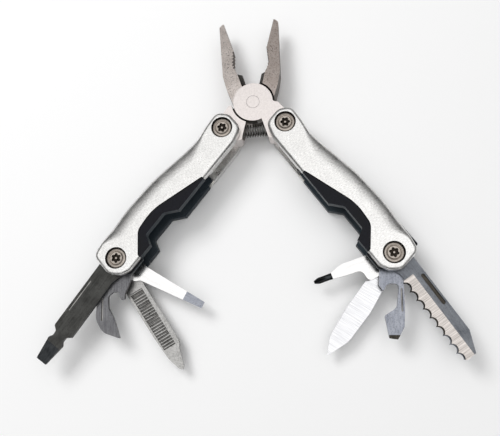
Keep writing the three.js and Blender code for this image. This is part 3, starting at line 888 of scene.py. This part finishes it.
# %% Inserts
for side in SIDES:
    panel = plate(
        f"fine_{side}_front_insert", drawn(side, insert_outline(0.2, 6.7), steps=12),
        CHANNEL_HIGH + 0.4, INSERT_TOP, handle_frame[side],
    )
    coated(panel, satin_black, painted_highlight_rim)
    liner = plate("liner", drawn(side, LINER_OUTLINE), CHANNEL_HIGH, CHANNEL_HIGH + LINER)
    carve(panel, coated(liner, satin_black), how="UNION")
    notch = plate("notch", drawn(side, FINGER_NOTCH), *THROUGH)
    bore = plate("bore", circle((0, -HANDLE_PITCH), HOLE_R), *THROUGH)
    carve(panel, coated(notch, satin_black), coated(bore, satin_black))
    break_edges(panel, 0.2, segments=3, edge_slot=1)
    # Side walls and faces looking into the channel get the painted light of the lighter wall finish.
    darken(panel, painted_light_mould_wall, lambda face: abs(face.normal.z) < 0.3 or face.normal.z < -0.9)
    smoothed(panel)
    rear = mirrored(panel, f"fine_{side}_rear_insert", Z, MID)
    finished(panel, f"{side}_front_insert", f"{side}_handle")
    finished(rear, f"{side}_rear_insert", f"{side}_handle")

# %% [markdown]
# ## Back springs
# A comb of four flat springs sits along the outer side of the channel and holds each tool open
# or shut. Only its corner shows. It is one block with three saw cuts between the springs.

# %% Back springs
BACK_SPRINGS = [
    (49.5, -8.2, 1.2), (54.0, -8.8, 3), (62.6, -8.9, 0.8), (63.0, -5.0, 0.6), (55.2, -4.9),
    (54.2, -5.5, 0.5), (50.0, -5.5, 0.8),
]
TOOL_LAYERS = [(10.0, 11.6), (8.2, 9.8), (6.2, 8.0), (4.4, 6.0)]  # front to rear
for side in SIDES:
    block = plate(
        f"fine_{side}_back_springs", drawn(side, BACK_SPRINGS),
        THICKNESS - CHANNEL_HIGH + 0.15, CHANNEL_HIGH - 0.15, handle_frame[side],
    )
    coated(block, satin_black, painted_highlight_rim)
    slit = [(48, -10), (60, -10), (60, -4), (48, -4)]
    cuts = [plate("slit", drawn(side, slit), high, high + 0.2) for _, high in TOOL_LAYERS[1:]]
    carve(block, *[coated(cut, satin_black) for cut in cuts])
    # The broken edges take the painted highlight rim.
    break_edges(block, 0.09, edge_slot=1)
    finished(smoothed(block), f"{side}_back_springs", f"{side}_handle")

# %% [markdown]
# ## Pivot screws
# Each pivot is a sleeve nut from the rear and a screw from the front. Their flat heads have a
# turned groove and a six-lobed recess with a pin in the middle, which keeps ordinary drivers
# out. The head is skinned over rings that change from circles to the lobed star and back, so the
# whole screw is one closed body with no cuts.

# %% Screws and sleeve nuts
HEAD_TOP, HEAD_R = THICKNESS - 0.3, 3.65
HEAD_FLOOR = COUNTERBORE_FLOOR + 0.1
HEAD_SIDES = 96
HEAD = [  # radius, height, and how far the ring has turned into a star
    (HEAD_R - 0.1, HEAD_FLOOR, 0), (HEAD_R, HEAD_FLOOR + 0.1, 0), (HEAD_R, HEAD_TOP - 0.4, 0),
    (3.42, HEAD_TOP - 0.18, 0), (2.98, HEAD_TOP, 0), (2.72, HEAD_TOP, 0), (2.6, HEAD_TOP - 0.2, 0),
    (2.4, HEAD_TOP - 0.26, 0), (2.24, HEAD_TOP - 0.18, 0), (2.12, HEAD_TOP - 0.02, 0),
    (1.98, HEAD_TOP - 0.02, 0), (1.78, HEAD_TOP - 0.06, 0.85), (1.64, HEAD_TOP - 0.2, 1),
    (1.6, HEAD_TOP - 0.95, 1),
    (0.46, HEAD_TOP - 1.0, 0), (0.44, HEAD_TOP - 0.3, 0), (0.34, HEAD_TOP - 0.16, 0),
]
SHANK = [(0.9, 5.0), (1.05, 5.15), (1.05, HEAD_FLOOR)]
SLEEVE_TOP = CHANNEL_HIGH + 1.1
SLEEVE = [
    (0.5, 4.0), (1.3, 4.0), (1.3, SLEEVE_TOP), (1.8, SLEEVE_TOP), (1.9, CHANNEL_HIGH + 1.0),
    (1.9, THICKNESS - HEAD_FLOOR),
]


def in_recess(face):
    depth = max(face.center.z, THICKNESS * mm - face.center.z) / mm
    reach = Vector(face.center[:2]).length / mm
    return HEAD_TOP - 1.1 < depth < HEAD_TOP - 0.08 and 0.4 < reach < 1.7


def star_ring(radius, height, share):
    ring = []
    for i in range(HEAD_SIDES):
        angle = 2 * math.pi * i / HEAD_SIDES
        lobe = 0.5 + 0.5 * math.cos(6 * angle)
        reach = radius * (1 - share * 0.33 * (1 - lobe**0.8))
        ring.append((reach * math.cos(angle), reach * math.sin(angle), height))
    return ring


def round_rings(profile):
    return [[(*point, z) for point in circle((0, 0), radius, HEAD_SIDES)] for radius, z in profile]


def fastener(kind, rings, side, end, spot):
    """A screw or a sleeve nut of turned steel, with a painted shade on the walls of its recess."""
    piece = coated(skinned(f"fine_{side}_{end}_{kind}", rings, spot), screw_steel)
    darken(piece, painted_shade_recess, in_recess)
    finished(smoothed(piece), f"{side}_{end}_{kind}", f"{side}_handle")


for side in SIDES:
    for end, along in (("jaw_end", 0), ("tool_end", HANDLE_PITCH)):
        spot = handle_frame[side] @ Matrix.Translation((0, -along * mm, 0))
        spot = spot @ Matrix.Rotation(math.radians(25 if end == "jaw_end" else 8), 4, "Z")
        head = [star_ring(*ring) for ring in HEAD]
        rear_head = [[(x, y, THICKNESS - z) for x, y, z in ring] for ring in head]
        fastener("screw", round_rings(SHANK) + head, side, end, spot)
        fastener("sleeve_nut", round_rings(SLEEVE) + rear_head, side, end, spot)

# %% [markdown]
# ## Tool blanks
# The eight tools are blanked from sheet steel. Each has a round tang on the tool-end sleeve and
# is then ground, slotted or toothed. A blank's outline is written along and across the tool:
# along runs from the pivot to the tip, and across is positive on the side that leads when the
# tool folds.

# %% Tool frames
TANG_R = 4.4
TOOLS = {  # handle, layer from the front, and how far the tool is folded out, in degrees
    "saw": ("right", 0, 177.4), "bottle_opener": ("right", 1, 142.8),
    "phillips_driver": ("right", 2, 72.3), "knife": ("right", 3, 109.1),
    "long_driver": ("left", 0, 177.4), "can_opener": ("left", 1, 140.2),
    "small_driver": ("left", 2, 79.1), "file": ("left", 3, 111),
}


def tool_frame(tool):
    side, _, opened = TOOLS[tool]
    return turned_frame(tool_end[side], handle_angle[side] + SIDES[side] * (180 - opened))


def blank(tool, corners, face, edge=worn_highlight_edge):
    """A sheet-steel blank with its tang and its pivot hole, in its own layer of the handle."""
    side, layer, _ = TOOLS[tool]
    low, high = TOOL_LAYERS[layer]
    outline = rounded([(0, -TANG_R), *corners, (0, TANG_R)], steps=8)
    outline += arc((0, 0), TANG_R, 90, 270, 24)[1:-1]
    laid_out = [Vector((SIDES[side] * v, -u)) for u, v in outline]
    piece = coated(plate(f"fine_{tool}", laid_out, low, high, tool_frame(tool)), face, edge)
    return carve(piece, coated(plate("hole", circle((0, 0), HOLE_R), 0, THICKNESS), face))


def grind(tool, start, end, top, edge, depth, finish, rear=False, hollow=1.0):
    """A wheel cut along the tool: nothing at "top" across, and full depth at "edge" across."""
    side, layer, _ = TOOLS[tool]
    face, up = (TOOL_LAYERS[layer][0], -1) if rear else (TOOL_LAYERS[layer][1], 1)
    steps = [i / 8 for i in range(9)]
    floor_line = [(SIDES[side] * (top + (edge - top) * t), face - up * depth * t**hollow) for t in steps]
    section = floor_line + [(SIDES[side] * edge, face + up), (SIDES[side] * top, face + up)]
    return coated(skinned("grind", [[(x, -u, z) for x, z in section] for u in (start, end)]), finish)


def thin_tip(tool, start, end, depth, finish, rear=False):
    """A wheel cut that thins a driver towards its tip."""
    layer = TOOLS[tool][1]
    face, up = (TOOL_LAYERS[layer][0], -1) if rear else (TOOL_LAYERS[layer][1], 1)
    section = [(start, face), (end, face - up * depth), (end, face + up), (start, face + up)]
    return coated(skinned("thin tip", [[(x, -u, z) for u, z in section] for x in (-9, 9)]), finish)


def nail_nick(tool, start, end, across, width, finish, depth=0.42):
    """A round-ended groove with sloping walls, for a fingernail."""
    side, layer, _ = TOOLS[tool]
    high = TOOL_LAYERS[layer][1]
    rings = []
    for half, z in ((width / 2 - 0.12, high - depth), (width / 2 + 0.06, high + 0.1)):
        ends = arc((end - half, across), half, -90, 90, 8) + arc((start + half, across), half, 90, 270, 8)
        rings.append([(SIDES[side] * v, -u, z) for u, v in ends])
    return coated(skinned("nail nick", rings), finish)


def lip(piece, tool, width, chosen, edge_slot=1, rear=False):
    """Chamfers the rim of one face where chosen(along, across) says so."""
    side, layer, _ = TOOLS[tool]
    height = TOOL_LAYERS[layer][0 if rear else 1] * mm
    work = bmesh.new()
    work.from_mesh(piece.data)
    rim = []
    for edge in work.edges:
        spots = [(-v.co.y / mm, SIDES[side] * v.co.x / mm) for v in edge.verts]
        level = all(abs(v.co.z - height) < 0.02 * mm for v in edge.verts)
        if level and edge.calc_face_angle(0) > 0.9 and all(chosen(*spot) for spot in spots):
            rim.append(edge)
    bmesh.ops.bevel(
        work, geom=rim, offset=width * mm, offset_type="OFFSET", segments=1, profile=0.5,
        affect="EDGES", material=edge_slot, clamp_overlap=True,
    )
    work.to_mesh(piece.data)
    work.free()


def on_body(piece, tool):
    finished(smoothed(piece), tool, tool)


print("tools:", ", ".join(TOOLS))

# %% [markdown]
# ## Tool finishes
# The saw keeps a dull rolled skin where no wheel has touched it. Ground bevels are brighter,
# with fine lines straight across the blade, which is the way the wheel turned. The can opener
# and the long driver are darker than the rest.

# %% Tool finishes
rolled_grey = metal("rolled_grey", paint(128, 131, 136), paint(84, 87, 92), 0.38, (0.5, 5), 0.35, 0.25, 4)
wheel_ground = metal("wheel_ground", paint(216, 209, 204), paint(140, 135, 131), 0.28, (9, 0.22), 0.8, 0, 2)
polished_blade = metal(
    "polished_blade", paint(226, 226, 227), paint(190, 190, 193), 0.2, (9, 0.25), 0.75, 0, 1.5
)
blue_grey = metal("blue_grey_steel", paint(162, 165, 173), paint(116, 119, 128), 0.3, (0.6, 3), 0.4, 0.3, 4)
gunmetal = metal("gunmetal", paint(84, 84, 82), paint(50, 50, 49), 0.36, (0.5, 7), 0.4, 0.3, 5)
blue_tip = metal("blued_tip", paint(70, 72, 74), paint(34, 36, 38), 0.28, (0.35, 2.2), 0.6, 0.2, 4)
opener_grey = metal("opener_grey", paint(132, 132, 134), paint(84, 84, 87), 0.36, (0.4, 6), 0.5, 0.3, 5)
file_steel = metal("file_steel", paint(186, 185, 183), paint(134, 133, 131), 0.3, (0.6, 0.6), 0.5, 0.3, 8)
bright_plate = metal("bright_plate", paint(228, 227, 226), paint(206, 205, 204), 0.2, (0.5, 9), 0.6, 0, 1)
# Dark steel for the walls of scallops and nicks, the knife's edges and the opener's filed tip: a painted
# shade.
painted_shade_steel = metal("painted_shade_nick_steel", paint(84, 80, 74), paint(44, 42, 39), 0.4, (0.4, 3), 0.5, 0.2, 5)
tool_finishes = (
    rolled_grey, wheel_ground, polished_blade, blue_grey, gunmetal, blue_tip, opener_grey,
    file_steel, bright_plate, painted_shade_steel,
)
print("tool finishes:", ", ".join(finish.name for finish in tool_finishes))

# %% [markdown]
# ## Saw
# The wood saw has round scallops instead of points. Each was cut with a tapered wheel, so its
# wall leans and shows from the front. One broad bevel thins the toothed edge; the nail nick is
# milled into the flat that is left.

# %% Saw
SAW = [
    (4, -5.0, 2), (34.6, -5.0, 2), (41.8, -2.0, 0.5), (42.1, 1.6, 0.4), (40.4, 3.2), (10.2, 3.2),
    (9.0, 2.0, 0.8), (6.5, 2.3, 1.5), (3.4, 4.3, 1),
]
SCALLOPS, SCALLOP_PITCH, SCALLOP_START, SCALLOP_ACROSS = 9, 3.55, 11.9, 3.8
SCALLOP_WHEEL = [(1.8, 9.9), (2.5, 11.4)]  # radius and height at the wheel's two ends

saw = blank("saw", SAW, rolled_grey)
carve(saw, grind("saw", start=9.4, end=44, top=-1.3, edge=3.4, depth=1.0, finish=wheel_ground))
# The scallop walls and the nail nick take the painted shade of the dark steel.
for i in range(SCALLOPS):
    middle = (SIDES["right"] * SCALLOP_ACROSS, -(SCALLOP_START + i * SCALLOP_PITCH))
    rings = [[(*point, z) for point in circle(middle, r)] for r, z in SCALLOP_WHEEL]
    carve(saw, coated(skinned("scallop", rings), painted_shade_steel))
carve(saw, nail_nick("saw", 11, 23.4, -3.7, 1.3, painted_shade_steel))
break_edges(saw, 0.07, edge_slot=1, sharper_than=30)
on_body(saw, "saw")

# %% [markdown]
# ## Knife
# A drop-point blade, ground hollow on both faces down to the cutting edge, with lines that run
# straight across it. The narrow chamfer along the back and the blade's other broken edges are
# painted dark, a painted shade that draws its outline.

# %% Knife
KNIFE = [
    (8, -3.4, 3), (20.5, -4.3, 20), (33.5, -3.3, 12), (41.3, 0.4, 0.2), (35.0, 3.1, 10),
    (23, 3.5, 20), (12.4, 2.9, 0.4), (11.4, 1.7, 0.8), (8, 2.1, 1.5), (3.6, 4.2, 1),
]
knife = blank("knife", KNIFE, polished_blade, painted_shade_steel)
lip(knife, "knife", 0.3, lambda along, across: along > 12 and across < 0.4)
lip(knife, "knife", 0.45, lambda along, across: along > 12 and across < 0.4, rear=True)
for rear in (False, True):
    hollow_grind = grind(
        "knife", start=12.6, end=44, top=-2.2, edge=3.8, depth=0.66,
        finish=polished_blade, rear=rear, hollow=1.6,
    )
    carve(knife, hollow_grind)
break_edges(knife, 0.06, edge_slot=1, sharper_than=30)
on_body(knife, "knife")

# %% [markdown]
# ## Bottle opener
# The hook takes the rim of a bottle cap, and the end is filed off as a broad driver.

# %% Bottle opener
BOTTLE_OPENER = [
    (6, -3.3, 2), (19.2, -3.4, 4), (24.6, -3.0, 3), (28.8, -0.7, 0.3), (28.4, 2.2, 0.4),
    (20.8, 3.5, 1), (18.2, -0.7, 2.5), (9.9, -1.9, 2), (9.9, 2.3, 2), (12.6, 3.5, 0.5),
    (10.2, 5.0, 1), (5.5, 4.6, 2),
]
bottle_opener = blank("bottle_opener", BOTTLE_OPENER, blue_grey)
# The filed end takes the painted shade of the dark steel.
carve(bottle_opener, thin_tip("bottle_opener", 27.3, 29.5, 1.0, painted_shade_steel))
carve(bottle_opener, nail_nick("bottle_opener", 11.5, 19.5, -2.5, 0.6, blackened_edge))
# The broken edges take the pale edge finish, a painted highlight along the rims.
break_edges(bottle_opener, 0.15, edge_slot=1)
on_body(bottle_opener, "bottle_opener")

# %% [markdown]
# ## Cross driver
# Its shank is flat like the other tools, but the bit is turned round and then fluted four times.
# The bit is skinned ring by ring: each ring is an oval that fits the sheet's thickness, and the
# flutes deepen towards the point.

# %% Cross driver
PHILLIPS = [
    (5, -4.9, 3), (10.6, -5.6, 1.8), (11.6, -1.2, 2.2), (18, -1.0, 4), (22, -0.6), (22, 1.7),
    (18, 3.2, 4), (8, 3.2, 2), (3.6, 4.3, 1),
]
BIT_ACROSS, BIT_HALF_WIDTH, BIT_HALF_DEPTH = 0.55, 1.15, 0.88
BIT_HEIGHT = sum(TOOL_LAYERS[2]) / 2
BIT_START, BIT_LENGTH, BIT_STEPS, BIT_SIDES = 21, 7.6, 30, 64


def bit_ring(along):
    flute = 0.5 * ease(along, 22.5, 26)
    size = 1 - 0.6 * ease(along, 26.6, 29.2)
    ring = []
    for i in range(BIT_SIDES):
        angle = 2 * math.pi * i / BIT_SIDES
        reach = size * (1 - flute * max(0, math.cos(4 * angle)) ** 1.5)
        across = BIT_ACROSS + BIT_HALF_WIDTH * reach * math.cos(angle)
        height = BIT_HEIGHT + BIT_HALF_DEPTH * reach * math.sin(angle)
        ring.append((SIDES["right"] * across, -along, height))
    return ring


cross_driver = blank("phillips_driver", PHILLIPS, bright_plate)
stations = [BIT_START + BIT_LENGTH * i / BIT_STEPS for i in range(BIT_STEPS + 1)]
bit = skinned("bit", [bit_ring(station) for station in stations])
lip(cross_driver, "phillips_driver", 0.35, lambda along, across: along > 13)
carve(cross_driver, coated(bit, blue_tip), how="UNION")
break_edges(cross_driver, 0.07, edge_slot=1, sharper_than=50)
on_body(cross_driver, "phillips_driver")

# %% [markdown]
# ## Long driver
# The longest tool, blackened. A pair of notches makes its neck, and its tip is thinned on both
# faces to fit a screw slot.

# %% Long driver
LONG_DRIVER = [
    (4, -5.0, 2), (31.9, -5.0, 0.8), (33.2, -3.3, 0.9), (35.0, -3.2, 0.9), (36.3, -4.1, 0.8),
    (44.7, -3.2, 0.2), (44.7, 1.0, 0.2), (36.3, 2.0, 0.8), (35.0, 1.1, 0.9), (33.2, 1.2, 0.9),
    (31.9, 2.9, 0.8), (8, 2.9, 2), (3.6, 4.3, 1),
]
long_driver = blank("long_driver", LONG_DRIVER, gunmetal, blackened_edge)
for rear in (False, True):
    carve(long_driver, thin_tip("long_driver", 37.6, 45, depth=0.42, finish=blue_tip, rear=rear))
carve(long_driver, nail_nick("long_driver", 12, 25, -4.0, 0.6, blackened_edge, 0.3))
break_edges(long_driver, 0.1, edge_slot=1)
on_body(long_driver, "long_driver")

# %% [markdown]
# ## Can opener
# A hooked beak: the small hook holds the can's rim while the concave edge, which has a narrow
# ground bevel, cuts the lid.

# %% Can opener
CAN_OPENER = [
    (6, -5.6, 4), (15.5, -8.6, 3), (21.0, -8.9, 6), (25.6, -6.2, 5), (27.8, 0, 0.3),
    (20.9, -2.2, 8), (16.9, -4.4, 3), (12.8, -4.5, 1.5), (11.4, -2.8, 1), (11.4, -0.5, 0.5),
    (12.9, -0.4, 0.3), (14.3, 0.4, 0.4), (13.9, 1.6, 0.5), (12.2, 1.6, 1), (7.5, 3.6, 2),
]
can_opener = blank("can_opener", CAN_OPENER, opener_grey)
lip(can_opener, "can_opener", 0.55, lambda along, across: 12 < along < 27.5 and -4.7 < across < 0.2)
carve(can_opener, nail_nick("can_opener", 13.5, 21.5, -6.6, 0.6, blackened_edge))
break_edges(can_opener, 0.09, edge_slot=1)
on_body(can_opener, "can_opener")

# %% [markdown]
# ## File
# The nail file's teeth are pressed across the blade, between a wide plain strip on one side and a
# narrow one on the other. The teeth are real ridges: one long comb is cut away from the face.

# %% File
FILE = [
    (12.4, -4.8, 3), (30.4, -3.6, 20), (39, -2.6, 8), (43.6, -1.0, 0.6), (44.8, 0, 0.5),
    (43.6, 1.0, 0.6), (37.4, 2.7, 0.8), (35.6, 3.8, 0.6), (11.7, 2.4, 1), (8, 2.4, 1.5),
    (3.6, 4.3, 1),
]
RIDGES, RIDGE_PITCH, RIDGE_START, RIDGE_DEPTH = 22, 1.08, 11.8, 0.42
NARROW_STRIP, WIDE_STRIP = (-3.9, -2.5), (1.1, 2.2)  # where the teeth end, at both ends of the comb


def ridge_comb(face):
    floor_line = []
    for i in range(RIDGES):
        start = RIDGE_START + i * RIDGE_PITCH
        floor_line.append((start, face + 0.02))
        floor_line += [(start + reach, face - RIDGE_DEPTH) for reach in (0.22, 0.5)]
    end = RIDGE_START + RIDGES * RIDGE_PITCH
    section = floor_line + [(end, face + 0.02), (end, face + 1), (RIDGE_START, face + 1)]
    rings = []
    for near, far in (NARROW_STRIP, WIDE_STRIP):
        share = [(u - RIDGE_START) / (end - RIDGE_START) for u, _ in section]
        rings.append([(near + (far - near) * s, -u, z) for s, (u, z) in zip(share, section)])
    return skinned("comb", rings)


file = blank("file", FILE, file_steel)
lip(file, "file", 0.35, lambda along, across: along > 12 and across > 1.2)
carve(file, coated(ridge_comb(TOOL_LAYERS[3][1]), file_steel))
break_edges(file, 0.07, edge_slot=1, sharper_than=60)
on_body(file, "file")

# %% [markdown]
# ## Small driver
# A short polished driver. Heat from grinding has left its thinned tip blue-grey.

# %% Small driver
SMALL_DRIVER = [
    (7.6, -4.4, 1.6), (9.4, -3.1, 1.2), (34, -1.7, 0.3), (34, 0.7, 0.3), (9, 2.2, 2), (3.6, 4.3, 1),
]
small_driver = blank("small_driver", SMALL_DRIVER, bright_plate)
lip(small_driver, "small_driver", 0.3, lambda along, across: along > 9)
for rear in (False, True):
    carve(small_driver, thin_tip("small_driver", 26.6, 34.5, depth=0.5, finish=blue_grey, rear=rear))
break_edges(small_driver, 0.06, edge_slot=1)
on_body(small_driver, "small_driver")
